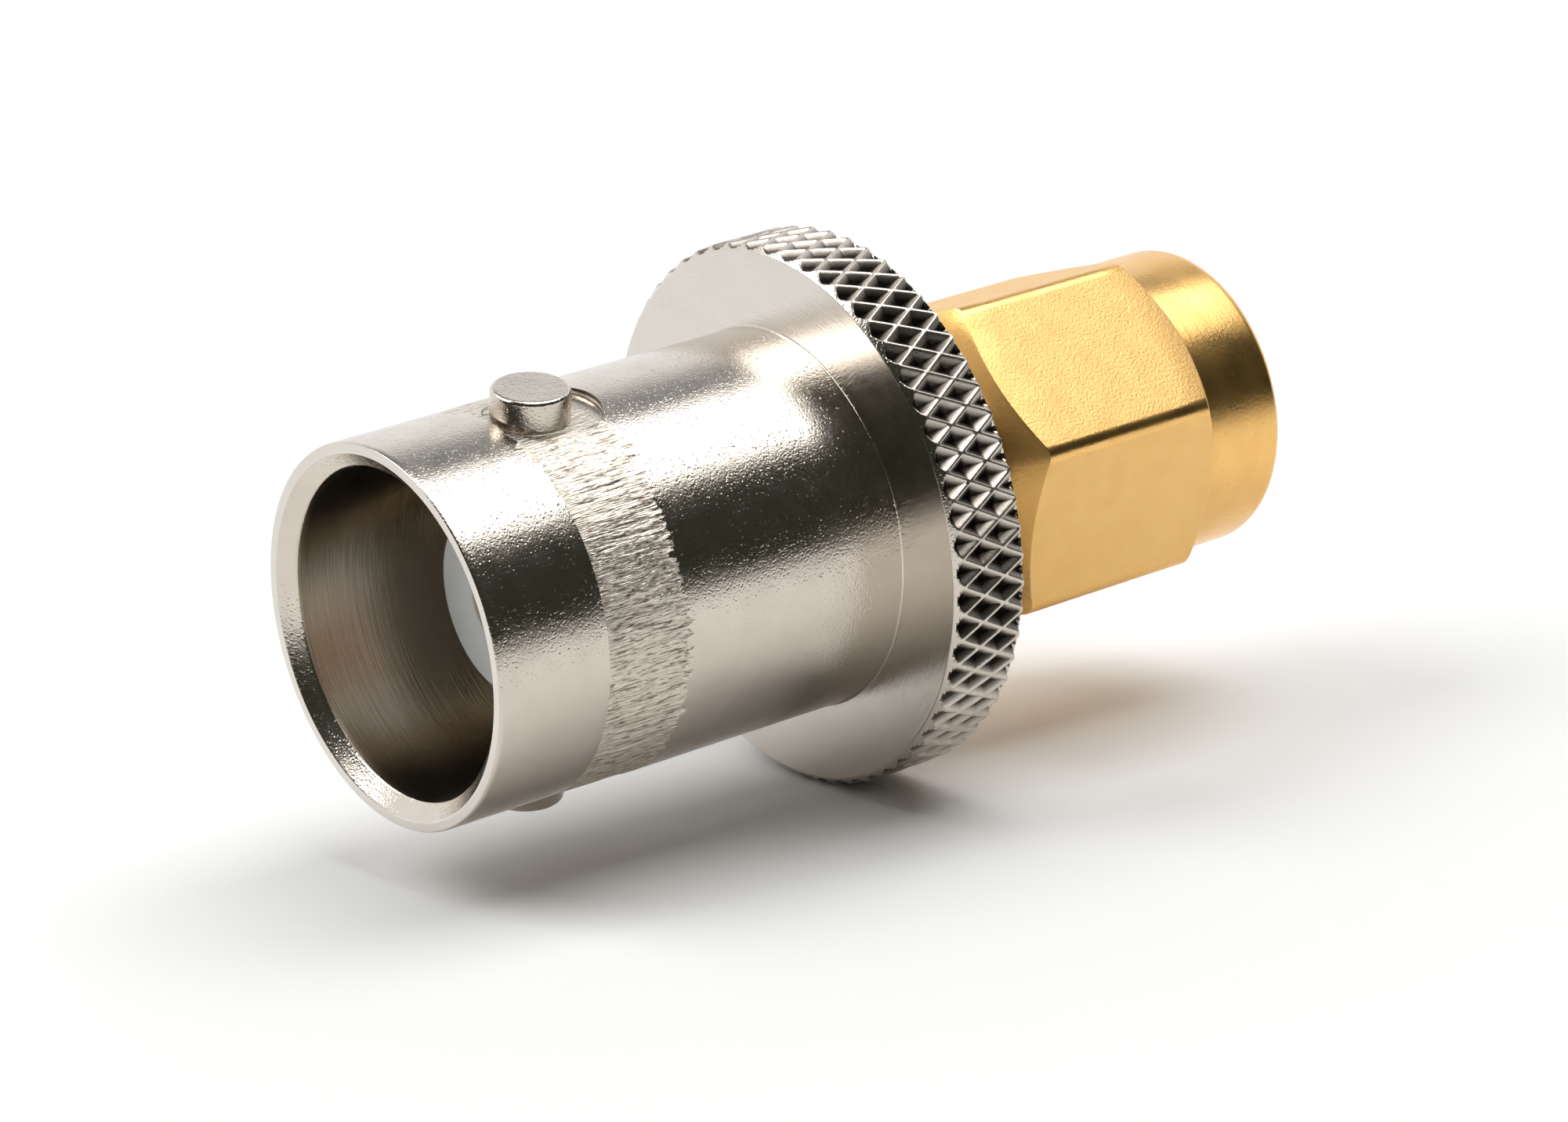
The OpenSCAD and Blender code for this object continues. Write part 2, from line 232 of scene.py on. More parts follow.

# Milled band between the lugs: torn strokes along the axis, pale satin, with brown streaks of painted shade
milled = makeMaterial("milledNickel", {
    "shader": {"Metallic": 1}, "colour": "#f0e7da", "shade": "#ddd3c5", "hazeMm": 0.3,
    "roughness": (0.32, 0.42),
    "shadeStreaks": {"form": "strokes", "sizeMm": (0.055, 0.055, 0.42), "detail": 2, "range": (0.35, 0.48),
                "colour": "#877a69"},
    "marks": [{"form": "strokes", "sizeMm": (0.07, 0.07, 0.55), "depthMm": 0.03, "detail": 2},
              {"form": "strokes", "sizeMm": (0.035, 0.035, 0.25), "depthMm": 0.014, "detail": 2}]})

# Rolled knurl: bright worn crests between pits painted dark, which is painted shade in the hollows
rolledPaintedShade = makeMaterial("rolledNickelPaintedShade", {
    "shader": {"Metallic": 1}, "colour": "#e0d8cd", "shade": "#cdc4b8", "hazeMm": 0.25,
    "roughness": (0.26, 0.36),
    "sunk": {"colour": "#464039", "radiiMm": (6.82, 6.964)},
    "marks": [{"form": "grain", "sizeMm": (0.05, 0.05, 0.05), "depthMm": 0.004, "detail": 2}]})

# Bored inside of the barrel: thin plate over fine turning lines, which smear what it mirrors along the axis
bored = makeMaterial("boredNickel", {
    "shader": {"Metallic": 1}, "colour": "#e4dacb", "shade": "#d9cebf", "hazeMm": 1.5,
    "roughness": (0.14, 0.2),
    "marks": [{"form": "turns", "sizeMm": (8, 8, 0.022), "depthMm": 0.0066, "detail": 2}]})

# Step that the hollow mill cut round each lug: painted dark brown, which is painted shade in its corner
stepShade = makeMaterial("paintedStepShade", {
    "shader": {"Metallic": 1}, "colour": "#5f5042", "shade": "#4b3f35", "hazeMm": 0.4,
    "roughness": (0.3, 0.42),
    "marks": [{"form": "grain", "sizeMm": (0.05, 0.05, 0.05), "depthMm": 0.003, "detail": 2}]})

# Satin gold plate on milled flats: warm yellow, with an even grain that softens every reflection
# The grain is finer than 0.04 mm and is drawn about twice as coarse, so that it shows
gold = makeMaterial("satinGold", {
    "shader": {"Metallic": 1}, "colour": "#f7ca84", "shade": "#f2c47b", "hazeMm": 0.6,
    "roughness": (0.4, 0.47),
    "marks": [{"form": "grain", "sizeMm": (0.075, 0.075, 0.075), "depthMm": 0.015, "detail": 3}]})

# The same gold where it was turned: brighter, with faint tool lines drawn twice as far apart as they are
turnedGold = makeMaterial("turnedGold", {
    "shader": {"Metallic": 1}, "colour": "#f6c880", "shade": "#efba6c", "hazeMm": 0.8,
    "roughness": (0.25, 0.32),
    "marks": [{"form": "turns", "sizeMm": (2.5, 2.5, 0.07), "depthMm": 0.003, "detail": 2},
              {"form": "grain", "sizeMm": (0.09, 0.09, 0.09), "depthMm": 0.004, "detail": 2}]})

# Machined PTFE: waxy white that lets a little light in; its tool rings are drawn twice as far apart
ptfe = makeMaterial("machinedPtfe", {
    "shader": {"IOR": 1.38, "Subsurface Weight": 0.25, "Subsurface Radius": (0.0006, 0.0006, 0.0006)},
    "colour": "#e9eaea", "shade": "#dde0e1", "hazeMm": 1.0, "roughness": (0.36, 0.5),
    "marks": [{"form": "rings", "sizeMm": (0.09, 3), "depthMm": 0.002, "detail": 2}]})

# Drawn spring bronze: reddish metal, with the lines of the die drawn coarser than they are
bronze = makeMaterial("drawnBronze", {
    "shader": {"Metallic": 1}, "colour": "#b8834f", "shade": "#a87244", "hazeMm": 0.5,
    "roughness": (0.26, 0.38),
    "marks": [{"form": "turns", "sizeMm": (2, 2, 0.04), "depthMm": 0.002, "detail": 2}]})

# Moulded silicone rubber: dull brick red with the faint mottling of the mould
silicone = makeMaterial("mouldedSilicone", {
    "shader": {"IOR": 1.41}, "colour": "#a8443a", "shade": "#b75d52", "hazeMm": 0.3,
    "roughness": (0.5, 0.7),
    "marks": [{"form": "grain", "sizeMm": (0.2, 0.2, 0.2), "depthMm": 0.008, "detail": 3}]})
print("materials made")

# Body: barrel with lugs and milled band, knurled flange and neck, all one turned piece
# Lengths are in mm from the axis or the mouth; over a blend or fade one surface becomes the next
# Rings named for a plain stretch are the places where it gets a ring of points
adapterBody = {
    "barrel": {"frontR": 4.8, "rearR": 4.849, "edgeR": 4.755, "edgeZ": 0.14, "mouthR": 4.54,
               "mouthDepth": 0.35, "boreR": 4.125, "boreDepth": 9.0, "rootFillet": 0.05,
               "frontRings": (0.35, 0.8, 1.4, 1.97), "rearRings": (6.53, 7.6, 9.0, 10.2, 11.0, 11.5),
               "boreRings": (7.5, 6.0, 4.5, 3.0, 1.5, 0.6)},
    "band": {"r": 4.782, "rise": 0.035, "start": 3.18, "end": 5.48, "startBlend": 0.12,
             "endBlend": (0.24, 0.08), "ragged": 0.2, "raggedMix": (0.5, 0.8), "chatter": 0.018,
             "chatterMix": (0.4, 0.8), "chatterBlend": (0.02, 0.1)},
    "lug": {"r": 0.975, "z": 4.25, "top": 5.479, "topRound": 0.11, "topRings": (0.5, 0.15),
            "rootFillet": 0.012, "floor": 4.65, "millR": 1.45, "millShift": 0.35, "halfWidth": 2.2,
            "outerShares": (0.7, 0.4, 0.15, 0.05),
            "stepRings": ((0.004, 0.1), (0.008, 0.03), (0.03, 0), (0.06, 0)),  # inset, height over floor
            "stepShadeRings": (5, 7), "stepShadeHalfWidth": 1},  # rings of faces, counted inward, that get the painted shade
    "knurl": {"count": 61, "turnDeg": 2.5, "steps": 8, "firstRow": 12.18, "rowMm": 0.64, "depth": 0.27,
              "crestR": 6.9688, "crestRound": 0.05, "frontZ": 12.0, "backZ": 14.1, "frontR": 6.765,
              "frontBevel": 0.2, "backR": 6.85, "backBevel": 0.05, "pitsFrom": (0.04, 0.13),
              "landMargin": 0.004, "crushDeg": (20, 66), "crushFadeDeg": (14, 12), "crushDepth": 0.05,
              "crushMix": (0.75, 0.45), "crushFill": 0.05, "faceRings": (4.93, 5.1, 5.6, 6.2, 6.7),
              "backRings": (6.4, 5.2)},
    "neck": {"r": 3.5, "endZ": 15.9, "chamfer": 0.2, "seatR": 2.76, "seatZ": 13.4, "webR": 1.5,
             "webZ": 12.6, "insulatorR": 2.36},
    "coarser": 4,  # every fourth column is enough away from the knurl and the band
    "sharpDeg": 56}
barrel, band, lug, knurl, neck = (adapterBody[part] for part in ("barrel", "band", "lug", "knurl", "neck"))
columns = knurl["count"] * knurl["steps"] * 2
outerAngles = math.radians(knurl["turnDeg"]) + np.arange(columns) * tau / columns
innerAngles = outerAngles[::adapterBody["coarser"]]
slotNickel, slotFaced, slotMilled, slotBored, slotKnurl, slotStepShade = range(6)

raggedEdge = wrappedNoise(3, 230, 2)
raggedFine = wrappedNoise(4, 480, 2)
chatterCoarse = wrappedNoise(5, 190, 3)
chatterFine = wrappedNoise(6, 390, 5)
crushNoise = wrappedNoise(8, 260, 12)


def bandEnd(angle):
    # most strokes end close together, and a few run on
    coarse, fine = band["raggedMix"]
    torn = coarse * raggedEdge(angle / tau, 0) + fine * raggedFine(angle / tau, 0)
    return band["end"] + band["ragged"] * torn * np.abs(torn)


def barrelRadius(angle, z):
    start, end, turns = band["start"], bandEnd(angle), angle / tau
    share = np.clip((z - start) / (band["end"] - start), 0, 1)
    coarse, fine = band["chatterMix"]
    chatter = band["chatter"] * (coarse * chatterCoarse(turns, share) + fine * chatterFine(turns, share))
    before, after = band["chatterBlend"]
    chatter = chatter * smoothStep(start - before, start + after, z)
    torn = band["r"] + band["rise"] * share + chatter
    begun = smoothStep(start - band["startBlend"], start + band["startBlend"], z)
    before, after = band["endBlend"]
    ended = smoothStep(end - before, end + after, z)
    return barrel["frontR"] * (1 - begun) + torn * begun * (1 - ended) + barrel["rearR"] * begun * ended


def inBand(angle, z):
    return (z > band["start"]) & (z < bandEnd(angle))


def landRadius(z):
    share = (z - knurl["frontZ"]) / knurl["frontBevel"]
    return knurl["frontR"] + share * (knurl["crestR"] - knurl["frontR"])


def knurlRadius(angle, z):
    # diamond pits between crests that cross; u and v count half diamonds round and along
    u = (angle - math.radians(knurl["turnDeg"])) / (tau / knurl["count"] / 2)
    v = (z - knurl["firstRow"]) / knurl["rowMm"]
    a, b = (u + v) / 2, (u - v) / 2
    inside = 0.5 - np.maximum(np.abs(a - np.round(a)), np.abs(b - np.round(b)))
    crest = knurl["crestRound"]
    sunk = (np.hypot(inside, crest) - crest) / (math.hypot(0.5, crest) - crest)
    sunk = sunk * smoothStep(*knurl["pitsFrom"], z - knurl["frontZ"])
    radius = knurl["crestR"] - knurl["depth"] * sunk
    # one side was dropped on something hard, which flattened the crests and filled the pits a little
    degrees = np.degrees((angle + math.pi) % tau - math.pi)
    (start, end), (fadeIn, fadeOut) = knurl["crushDeg"], knurl["crushFadeDeg"]
    crushed = smoothStep(start, start + fadeIn, degrees) * (1 - smoothStep(end - fadeOut, end, degrees))
    mean, spread = knurl["crushMix"]
    across = (z - knurl["frontZ"]) / (knurl["backZ"] - knurl["frontZ"])
    dent = crushed * knurl["crushDepth"] * (mean + spread * crushNoise(angle / tau, across))
    radius = np.minimum(radius, knurl["crestR"] - dent) + crushed * knurl["crushFill"] * sunk
    back = knurl["backR"] + (knurl["backZ"] - z) / knurl["backBevel"] * (knurl["crestR"] - knurl["backR"])
    return np.minimum(radius, np.minimum(landRadius(z), back))


def lugPatch(shape, side, boundary, boundaryPoints):
    # rings round one lug, from the barrel's grid in to the lug and up over its top
    x, z = boundaryPoints[:, 0], boundaryPoints[:, 2] - lug["z"]
    reach, heading = np.hypot(x, z), np.arctan2(z, x)
    cosine, sine = np.cos(heading), np.sin(heading)

    def surface(radius, highest=np.inf):
        px, pz = radius * cosine, lug["z"] + radius * sine
        angle = side * np.arccos(np.clip(px / barrel["frontR"], -1, 1))
        height = np.minimum(np.sqrt(barrelRadius(angle, pz) ** 2 - px ** 2), highest)
        return np.column_stack([px, side * height, pz]), inBand(angle, pz)

    # the hollow mill sat a little behind the lug's middle, so its step comes close to the lug at the front
    millFloor, shift = lug["floor"], lug["millShift"]
    millR = shift * sine + np.sqrt(lug["millR"] ** 2 - (shift * cosine) ** 2)
    fillet, r, foot = lug["rootFillet"], lug["r"], lug["stepRings"][-1][0]
    rings = [surface(millR + (reach - millR) * t) for t in lug["outerShares"]] + [surface(millR)]
    rings += [surface(millR - inset, millFloor + above) for inset, above in lug["stepRings"]]
    rings += [surface(millR - foot + (r + fillet - millR + foot) * t, millFloor)
              for t in np.linspace(0.1, 0.9, 5)]
    rings.append(surface(r + fillet, millFloor))
    previous = boundary
    for i, (points, isMilled) in enumerate(rings):
        ring = addPoints(shape, points)
        slots = np.where(isMilled, slotMilled, slotNickel)
        # the step's top and its fillet near the lug's middle are painted dark, as shade in the corner
        if i in lug["stepShadeRings"]:
            slots = np.where(np.abs(points[:, 0]) < lug["stepShadeHalfWidth"], slotStepShade, slots)
        bridge(shape, previous, ring, slots)
        previous = ring

    # rows close to an edge keep its shading crisp, here and in the other profiles
    top, edge = lug["top"], lug["topRound"]
    profile = [(r + fillet * (1 - math.sin(t)), millFloor + fillet * (1 - math.cos(t)))
               for t in (0.5, 1.0, math.pi / 2)]
    profile += [(r, h) for h in (millFloor + fillet + 0.02, millFloor + 0.25, top - edge - 0.25,
                                 top - edge - 0.02, top - edge)]
    profile += [(r - edge * (1 - math.cos(t)), top - edge * (1 - math.sin(t)))
                for t in np.linspace(0, math.pi / 2, 7)[1:]]
    profile += [(t, top) for t in (r - edge - 0.02, *lug["topRings"])]
    for radius, height in profile:
        px, pz = radius * cosine, lug["z"] + radius * sine
        heights = np.full_like(cosine, height)
        if height < millFloor + fillet:
            angle = side * np.arccos(px / barrel["frontR"])
            base = np.sqrt(np.maximum(barrelRadius(angle, pz) ** 2 - px ** 2, 0))
            heights = np.minimum(base, millFloor) + height - millFloor
        ring = addPoints(shape, np.column_stack([px, side * heights, pz]))
        bridge(shape, previous, ring, slotNickel)
        previous = ring
    centre = addPoints(shape, [[0, side * top, lug["z"]]])[0]
    addFaces(shape, [[a, b, centre] for a, b in zip(previous, np.roll(previous, -1))], slotNickel)


def barrelGrid(shape, firstRing):
    # rows lie close together where the band starts and ends, and a window is left open round each lug
    low, high = lug["z"] - lug["halfWidth"], lug["z"] + lug["halfWidth"]
    start, end = band["start"], band["end"]
    zs = np.concatenate([np.linspace(low, start - 0.05, 4), [start, start + 0.05],
                         np.linspace(start + 0.22, end - 0.2, 11), np.linspace(end - 0.15, end + 0.2, 9),
                         np.linspace(end + 0.33, high, 3)])
    centres = [int(round((side * math.pi / 2 - outerAngles[0]) % tau / tau * columns)) for side in (1, -1)]
    half = int(round(lug["halfWidth"] / barrel["frontR"] / tau * columns))
    grid = np.full((len(zs), columns), -1)
    covered, inner = np.zeros(columns, bool), np.zeros(columns, bool)
    for centre in centres:
        span = np.arange(centre - half, centre + half)
        covered[span % columns] = True
        inner[span[1:] % columns] = True
    for i, z in enumerate(zs):
        keep = ~inner if 0 < i < len(zs) - 1 else np.ones(columns, bool)
        grid[i, keep] = addPoints(shape, ringPoints(outerAngles, barrelRadius(outerAngles, z), z)[keep])
    bridge(shape, firstRing, grid[0], slotNickel)
    following = np.roll(np.arange(columns), -1)
    for i in range(len(zs) - 1):
        faces = np.column_stack([grid[i], grid[i, following], grid[i + 1, following], grid[i + 1]])
        isMilled = inBand(outerAngles + tau / columns / 2, (zs[i] + zs[i + 1]) / 2)
        addFaces(shape, faces[~covered], np.where(isMilled, slotMilled, slotNickel)[~covered])
    for side, centre in zip((1, -1), centres):
        across = np.arange(centre - half, centre + half + 1) % columns
        loop = np.concatenate([grid[0, across[:-1]], grid[:-1, across[-1]], grid[-1, across[:0:-1]],
                               grid[:0:-1, across[0]]])
        lugPatch(shape, side, loop, np.concatenate(shape["points"])[loop])
    return grid[-1]


def knurlBand(shape, ring):
    step = knurl["rowMm"] / knurl["steps"]
    rows = knurl["firstRow"] + step * np.arange(2, int((knurl["backZ"] - knurl["firstRow"]) / step) + 1)
    fine = knurl["firstRow"] + step / 2 * np.arange(-4, 4)
    bevelZ = knurl["backZ"] - knurl["backBevel"]
    rows = np.concatenate([[knurl["frontZ"] + 0.006], fine, rows[rows < bevelZ - 0.01], [bevelZ]])
    place = np.arange(columns)
    following = np.roll(place, -1)
    previous, previousZ = ring, knurl["frontZ"]
    for z in rows:
        radius = knurlRadius(outerAngles, np.full(columns, z))
        ring = addPoints(shape, ringPoints(outerAngles, radius, z))
        a, b, c, d = previous, previous[following], ring[following], ring
        # each cell is split along the crest or the valley that runs through it
        u = (place + 0.5) / knurl["steps"]
        v = ((z + previousZ) / 2 - knurl["firstRow"]) / knurl["rowMm"]
        plus, minus = (u + v) / 2, (u - v) / 2
        rising = (np.abs(minus - np.round(minus)) >= np.abs(plus - np.round(plus)))[:, None]
        # the plain land at the front edge takes plain nickel, without the pits' painted shade
        plain = radius > landRadius(z) - knurl["landMargin"]
        slot = np.where(plain & plain[following], slotNickel, slotKnurl)
        addFaces(shape, np.where(rising, np.column_stack([a, b, c]), np.column_stack([a, b, d])), slot)
        addFaces(shape, np.where(rising, np.column_stack([a, c, d]), np.column_stack([b, c, d])), slot)
        previous, previousZ = ring, z
    return previous


def bodyShape():
    shape = newShape()

    def lathe(previous, angles, profile, slot):
        for radius, z in profile:
            ring = addPoints(shape, ringPoints(angles, radius, z))
            if previous is not None:
                bridge(shape, previous, ring, slot)
            previous = ring
        return previous

    # from the rim of the mouth back along the outside
    frontR, rearR, edgeR, edgeZ = (barrel[key] for key in ("frontR", "rearR", "edgeR", "edgeZ"))
    mouthR, boreR, mouthDepth, boreDepth = (barrel[key]
                                            for key in ("mouthR", "boreR", "mouthDepth", "boreDepth"))
    ring = lathe(None, innerAngles, [(r, 0) for r in (mouthR + 0.012, mouthR + 0.03, edgeR - 0.02, edgeR)],
                 slotFaced)
    ring = lathe(ring, innerAngles, [(edgeR + (frontR - edgeR) * math.sin(t), edgeZ * (1 - math.cos(t)))
                                     for t in np.linspace(0, math.pi / 2, 9)[1:]], slotNickel)
    ring = lathe(ring, innerAngles, [(frontR, z) for z in (edgeZ + 0.03, *barrel["frontRings"])], slotNickel)
    ring = barrelGrid(shape, ring)
    root, flangeZ, backZ = barrel["rootFillet"], knurl["frontZ"], knurl["backZ"]
    lastZ = flangeZ - root
    ring = lathe(ring, innerAngles,
                 [(rearR, z) for z in (*barrel["rearRings"], lastZ - 0.03, lastZ)], slotNickel)
    ring = lathe(ring, innerAngles, [(rearR + root * (1 - math.cos(t)), flangeZ - root * (1 - math.sin(t)))
                                     for t in np.linspace(0.2, math.pi / 2, 8)], slotNickel)

    # flange, with the knurl in fine columns, and the neck behind it
    ring = lathe(ring, innerAngles, [(r, flangeZ) for r in knurl["faceRings"]], slotFaced)
    ring = lathe(ring, outerAngles, [(knurl["frontR"] - t, flangeZ) for t in (0.03, 0.006)], slotFaced)
    ring = knurlBand(shape, ring)
    ring = lathe(ring, outerAngles, [(knurl["backR"], backZ)], slotNickel)
    neckR, endZ, chamfer, seatR = (neck[key] for key in ("r", "endZ", "chamfer", "seatR"))
    ring = lathe(ring, innerAngles, [(r, backZ) for r in (*knurl["backRings"], neckR + 0.1)], slotFaced)
    ring = lathe(ring, innerAngles,
                 [(neckR + 0.03, backZ + 0.03), (neckR, backZ + 0.1), (neckR, endZ - chamfer - 0.02),
                  (neckR - 0.02, endZ - chamfer + 0.01), (neckR - chamfer, endZ - 0.01),
                  (neckR - chamfer - 0.02, endZ)], slotNickel)

    # back through the inside: seat of the ferrule, web, seat of the insulator, bore and mouth
    ring = lathe(ring, innerAngles,
                 [(seatR + 0.02, endZ), (seatR, endZ - 0.02), (seatR, neck["seatZ"]),
                  (neck["webR"], neck["seatZ"]), (neck["webR"], neck["webZ"]),
                  (neck["insulatorR"], neck["webZ"]), (neck["insulatorR"], boreDepth),
                  (boreR - 0.05, boreDepth), (boreR, boreDepth - 0.05)], slotBored)
    ring = lathe(ring, innerAngles, [(boreR, z) for z in (*barrel["boreRings"], mouthDepth + 0.03)],
                 slotBored)
    ring = lathe(ring, innerAngles,
                 [(boreR + 0.015, mouthDepth - 0.012), (boreR + 0.045, mouthDepth - 0.035),
                  (mouthR - 0.035, 0.03), (mouthR - 0.01, 0.008)], slotNickel)
    bridge(shape, ring, np.arange(len(innerAngles)), slotFaced)
    return shape


body = makePiece("body", bodyShape(), [nickel, faced, milled, bored, rolledPaintedShade, stepShade],
                 adapterBody["sharpDeg"])
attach(body, "adapter")
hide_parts("bnc_body")
print("body made:", len(body.data.polygons), "faces")

# Coupling nut: chamfered hexagon with a round front, and the internal thread
# threadFlank: where a flank leaves the crest and how long it is, as shares of half a pitch
nut = {"flatR": 3.969, "cornerRound": 0.45, "turnDeg": -25, "rearZ": 16.6, "rearR": 3.4, "rearDeg": 30,
       "hexEndZ": 22.95, "faceR": 3.945, "frontDeg": 37, "frontR": 3.9, "endZ": 25.36, "endRound": 0.25,
       "edge": 0.05, "runR": 2.8, "runZ": (16.64, 17.2), "grooveR": 3.055, "grooveZ": (17.92, 18.58),
       "threadR": 2.86, "threadRoot": 3.17, "threadPitch": 25.4 / 36, "threadStart": 0.25,
       "threadFade": 0.5, "threadFlank": (0.94, 0.8), "leadR": 3.3, "flatSteps": 22, "cornerSteps": 10,
       "threadSteps": 12, "frontRings": (23.5, 24.3), "sharpDeg": 30}
slotFlats, slotTurned = range(2)


def rearChamfer(r):
    return nut["rearZ"] + (r - nut["rearR"]) * math.tan(math.radians(nut["rearDeg"]))


def frontChamfer(r):
    return nut["hexEndZ"] - (r - nut["faceR"]) * math.tan(math.radians(nut["frontDeg"]))


def nutShape():
    shape = newShape()
    angles, radii = [], []
    tangent = (nut["flatR"] - nut["cornerRound"]) * math.tan(math.pi / 6)
    hub = (nut["flatR"] - nut["cornerRound"]) / math.cos(math.pi / 6)
    for k in range(6):
        middle = math.radians(nut["turnDeg"]) + (k + 0.5) * tau / 6
        for y in np.linspace(-tangent, tangent, nut["flatSteps"], endpoint=False):
            angles.append(middle + math.atan2(y, nut["flatR"]))
            radii.append(math.hypot(y, nut["flatR"]))
        for t in np.linspace(-math.pi / 6, math.pi / 6, nut["cornerSteps"], endpoint=False):
            x, y = hub + nut["cornerRound"] * math.cos(t), nut["cornerRound"] * math.sin(t)
            angles.append(middle + tau / 12 + math.atan2(y, x))
            radii.append(math.hypot(x, y))
    angles, hexR = np.array(angles), np.array(radii)
    onCorner = np.arange(len(angles)) % (nut["flatSteps"] + nut["cornerSteps"]) >= nut["flatSteps"]
    hexSlots = np.where(onCorner, slotTurned, slotFlats)

    # outside, from the running bore round to the lead-in; a crease has a small round on each side of it
    rearR, rearZ, faceR, frontR = (nut[key] for key in ("rearR", "rearZ", "faceR", "frontR"))
    e, end, roundR, (runLow, runHigh) = nut["edge"], nut["endZ"], nut["endRound"], nut["runZ"]
    profile = [(nut["runR"], runLow), (nut["runR"] + 0.04, rearZ), (rearR - e, rearZ),
               (rearR - 0.01, rearZ + 0.006), (rearR + e, rearChamfer(rearR + e))]
    profile += [(hexR - e, rearChamfer(hexR - e)), (hexR - 0.012, rearChamfer(hexR) + 0.006),
                (hexR, rearChamfer(hexR) + e)]
    flatsFrom = len(profile) - 1
    profile += [(hexR, rearChamfer(hexR) * (1 - t) + frontChamfer(hexR) * t)
                for t in (0.15, 0.4, 0.65, 0.85)]
    profile += [(hexR, frontChamfer(hexR) - e), (hexR - 0.012, frontChamfer(hexR) - 0.006)]
    flatsTo = len(profile) - 1
    creaseR = hexR - np.minimum(e, (hexR - faceR) * 0.5)
    profile += [(creaseR, frontChamfer(creaseR)), (faceR + 0.002, nut["hexEndZ"] - 0.002),
                (frontR + 0.02, nut["hexEndZ"] + 0.004), (frontR, nut["hexEndZ"] + 0.03)]
    profile += [(frontR, z) for z in (*nut["frontRings"], end - roundR - 0.04)]
    profile += [(frontR - roundR * (1 - math.cos(t)), end - roundR * (1 - math.sin(t)))
                for t in np.linspace(0.15, math.pi / 2, 7)]
    leadZ = end - 0.02
    profile += [(nut["leadR"] + 0.03, end), (nut["leadR"], leadZ)]
    previous = None
    for i, (radius, z) in enumerate(profile):
        ring = addPoints(shape, ringPoints(angles, radius, z))
        if previous is not None:
            bridge(shape, previous, ring, hexSlots if flatsFrom <= i <= flatsTo else slotTurned)
        previous = ring

    # thread, which fades out before the groove of the retaining ring
    grooveLow, grooveHigh = nut["grooveZ"]
    pitch, lowest = nut["threadPitch"], grooveHigh + nut["threadStart"]
    flankFrom, flankLength = nut["threadFlank"]
    leadEnd = leadZ - (nut["leadR"] - nut["threadR"])
    for z in np.arange(end - 0.06, lowest, -pitch / nut["threadSteps"]):
        turns = z / pitch - angles / tau
        tooth = np.abs(turns - np.round(turns)) * 2
        cut = np.clip((flankFrom - tooth) / flankLength, 0, 1)
        cut = smoothStep(lowest, lowest + nut["threadFade"], z) * cut
        radius = nut["threadR"] + cut * (nut["threadRoot"] - nut["threadR"])
        radius = np.maximum(radius, min(nut["threadR"] + max(z - leadEnd, 0), nut["leadR"]))
        ring = addPoints(shape, ringPoints(angles, radius, z))
        bridge(shape, previous, ring, slotTurned)
        previous = ring
    for radius, z in [(nut["threadR"], grooveHigh), (nut["grooveR"], grooveHigh),
                      (nut["grooveR"], grooveLow), (nut["runR"], grooveLow), (nut["runR"], runHigh)]:
        ring = addPoints(shape, ringPoints(angles, radius, z))
        bridge(shape, previous, ring, slotTurned)
        previous = ring
    bridge(shape, previous, np.arange(len(angles)), slotTurned)
    return shape


couplingNut = makePiece("couplingNut", nutShape(), [gold, turnedGold], nut["sharpDeg"])
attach(couplingNut, "nut")
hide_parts("coupling_nut")
print("nut made:", len(couplingNut.data.polygons), "faces")

# Inner pieces keep their solids and get finely broken edges, of the width given in mm
innerPieces = {"bnc_insulator": (ptfe, 0.05), "centre_contact": (turnedGold, 0.03),
               "sma_insulator": (ptfe, 0.03), "sma_ferrule": (turnedGold, 0.03),
               "retaining_ring": (bronze, 0.03), "gasket": (silicone, 0.08)}
breaking = {"weldMm": 0.002, "fromDeg": 40, "segments": 2, "sharpDeg": 35}
for nodeName, (material, edgeMm) in innerPieces.items():
    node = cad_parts[nodeName]
    node.data.materials.clear()
    node.data.materials.append(material)
    weld = node.modifiers.new("weld", "WELD")
    weld.merge_threshold = breaking["weldMm"] * mm
    broken = node.modifiers.new("broken edges", "BEVEL")
    broken.width, broken.segments, broken.limit_method = edgeMm * mm, breaking["segments"], "ANGLE"
    broken.angle_limit = math.radians(breaking["fromDeg"])
    broken.harden_normals = False
    node.data.shade_smooth()
    node.data.set_sharp_from_angle(angle=math.radians(breaking["sharpDeg"]))
print("inner pieces dressed")

# Camera of the photograph: the long lens looks down on the part as it lies on its side
# Its place, lens and sensor are in mm and its clip range in metres
view = {"place": (100.585, -61.248, -69.591), "right": (0.6179, -0.0334, 0.7855),
        "down": (0.3602, 0.9001, -0.2451), "ahead": (-0.6989, 0.4344, 0.5682), "lens": 132.09, "sensor": 36,
        "clip": (0.005, 10)}
camera = bpy.data.objects.new("camera", bpy.data.cameras.new("camera"))
bpy.context.scene.collection.objects.link(camera)
axes = [Vector(view["right"]), -Vector(view["down"]), -Vector(view["ahead"])]
camera.matrix_world = Matrix.Translation(Vector(view["place"]) * mm) @ Matrix(axes).transposed().to_4x4()
camera.data.sensor_width, camera.data.lens = view["sensor"], view["lens"]
camera.data.clip_start, camera.data.clip_end = view["clip"]
bpy.context.scene.camera = camera

